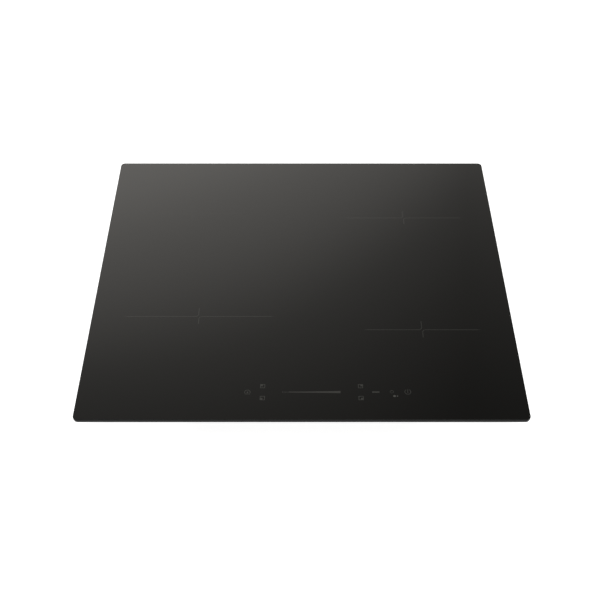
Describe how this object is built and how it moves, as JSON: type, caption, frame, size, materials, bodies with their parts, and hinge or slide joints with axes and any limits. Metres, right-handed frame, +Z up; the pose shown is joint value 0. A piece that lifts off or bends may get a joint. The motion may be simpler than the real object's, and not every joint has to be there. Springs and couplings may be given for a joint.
{
  "type": "induction cooktop",
  "caption": "Built-in electric induction cooktop: black glass plate with touch controls on a shallow steel casing that holds coils, boards, a fan and mains terminals.",
  "frame": {"origin": "on the flat bottom of the casing, under the centre of the glass plate", "axes": "+X to the user's right, +Y away from the user, +Z up out of the cooking surface"},
  "size_m": [0.59, 0.52, 0.056],
  "materials": {
    "glass": "polished black glass-ceramic, slightly reflective",
    "foam": "closed-cell foam",
    "galvanised_steel": "satin zinc coating",
    "spring_steel": "bright",
    "plated_steel": "zinc plated",
    "aluminium_sheet": "mill finish",
    "aluminium_extrusion": "extruded, matt",
    "copper": "lacquered stranded wire",
    "ferrite": "sintered, matt",
    "mica": "fibrous sheet",
    "black_plastic": "moulded, matt",
    "grey_plastic": "moulded, matt",
    "white_plastic": "moulded, matt",
    "circuit_board": "solder resist",
    "capacitor_case": "glossy sleeve",
    "rubber": "moulded, matt"
  },
  "bodies": {
    "casing": {"glass_top": "glass", "perimeter_seal": "foam", "glass_frame": "galvanised_steel", "bottom_tray": "galvanised_steel", "front_air_grille": "black_plastic", "fan_intake_grille": "black_plastic", "coil_carrier_left": "aluminium_sheet", "coil_carrier_right": "aluminium_sheet", "electronics_carrier": "grey_plastic", "power_board_left": "circuit_board", "power_board_right": "circuit_board", "heatsink_left": "aluminium_extrusion", "heatsink_right": "aluminium_extrusion", "dc_capacitor_left": "capacitor_case", "dc_capacitor_right": "capacitor_case", "air_duct": "grey_plastic", "filter_board": "circuit_board", "filter_choke": "copper", "fan_housing": "black_plastic", "fan_motor": "grey_plastic", "control_carrier": "grey_plastic", "control_board": "circuit_board", "control_light_mask": "black_plastic", "terminal_box": "black_plastic", "terminal_block": "white_plastic", "terminal_lid_pin": "plated_steel", "cable_grommet": "rubber", "coil_former_front_left": "black_plastic", "coil_winding_front_left": "copper", "ferrite_star_front_left": "ferrite", "insulation_disc_front_left": "mica", "sensor_spring_front_left": "spring_steel", "coil_former_rear_left": "black_plastic", "coil_winding_rear_left": "copper", "ferrite_star_rear_left": "ferrite", "insulation_disc_rear_left": "mica", "sensor_spring_rear_left": "spring_steel", "coil_former_front_right": "black_plastic", "coil_winding_front_right": "copper", "ferrite_star_front_right": "ferrite", "insulation_disc_front_right": "mica", "sensor_spring_front_right": "spring_steel", "coil_former_rear_right": "black_plastic", "coil_winding_rear_right": "copper", "ferrite_star_rear_right": "ferrite", "insulation_disc_rear_right": "mica", "sensor_spring_rear_right": "spring_steel", "casing_screw_left": "plated_steel", "casing_screw_right": "plated_steel", "casing_screw_front": "plated_steel"},
    "fan_rotor": {"fan_impeller": "black_plastic"},
    "lid": {"terminal_lid": "black_plastic"},
    "sensor_front_left": {"temperature_sensor_front_left": "white_plastic"},
    "sensor_rear_left": {"temperature_sensor_rear_left": "white_plastic"},
    "sensor_front_right": {"temperature_sensor_front_right": "white_plastic"},
    "sensor_rear_right": {"temperature_sensor_rear_right": "white_plastic"},
    "spring_front_left": {"mounting_spring_front_left": "spring_steel"},
    "spring_rear_left": {"mounting_spring_rear_left": "spring_steel"},
    "spring_front_right": {"mounting_spring_front_right": "spring_steel"},
    "spring_rear_right": {"mounting_spring_rear_right": "spring_steel"}
  },
  "joints": [
    {"name": "fan_spin", "type": "hinge", "parent": "casing", "child": "fan_rotor", "pos_m": [0.036, 0.165, 0.02], "axis": [0, 0, 1], "continuous": true},
    {"name": "terminal_lid_hinge", "type": "hinge", "parent": "casing", "child": "lid", "pos_m": [0.196, 0.2424, 0.007], "axis": [-1, 0, 0], "range_deg": [0, 100]},
    {"name": "sensor_press_front_left", "type": "slide", "parent": "casing", "child": "sensor_front_left", "axis": [0, 0, -1], "range_m": [0, 0.0015], "stiffness_N_per_m": 400, "springref_m": -0.001, "deforming": ["sensor_spring_front_left"]},
    {"name": "sensor_press_rear_left", "type": "slide", "parent": "casing", "child": "sensor_rear_left", "axis": [0, 0, -1], "range_m": [0, 0.0015], "stiffness_N_per_m": 400, "springref_m": -0.001, "deforming": ["sensor_spring_rear_left"]},
    {"name": "sensor_press_front_right", "type": "slide", "parent": "casing", "child": "sensor_front_right", "axis": [0, 0, -1], "range_m": [0, 0.0015], "stiffness_N_per_m": 400, "springref_m": -0.001, "deforming": ["sensor_spring_front_right"]},
    {"name": "sensor_press_rear_right", "type": "slide", "parent": "casing", "child": "sensor_rear_right", "axis": [0, 0, -1], "range_m": [0, 0.0015], "stiffness_N_per_m": 400, "springref_m": -0.001, "deforming": ["sensor_spring_rear_right"]},
    {"name": "mounting_spring_flex_front_left", "type": "hinge", "parent": "casing", "child": "spring_front_left", "pos_m": [-0.2761, -0.12, 0.044], "axis": [0, -1, 0], "range_deg": [0, 6], "stiffness_Nm_per_rad": 1.6},
    {"name": "mounting_spring_flex_rear_left", "type": "hinge", "parent": "casing", "child": "spring_rear_left", "pos_m": [-0.2761, 0.12, 0.044], "axis": [0, -1, 0], "range_deg": [0, 6], "stiffness_Nm_per_rad": 1.6},
    {"name": "mounting_spring_flex_front_right", "type": "hinge", "parent": "casing", "child": "spring_front_right", "pos_m": [0.2761, -0.12, 0.044], "axis": [0, 1, 0], "range_deg": [0, 6], "stiffness_Nm_per_rad": 1.6},
    {"name": "mounting_spring_flex_rear_right", "type": "hinge", "parent": "casing", "child": "spring_rear_right", "pos_m": [0.2761, 0.12, 0.044], "axis": [0, 1, 0], "range_deg": [0, 6], "stiffness_Nm_per_rad": 1.6}
  ]
}
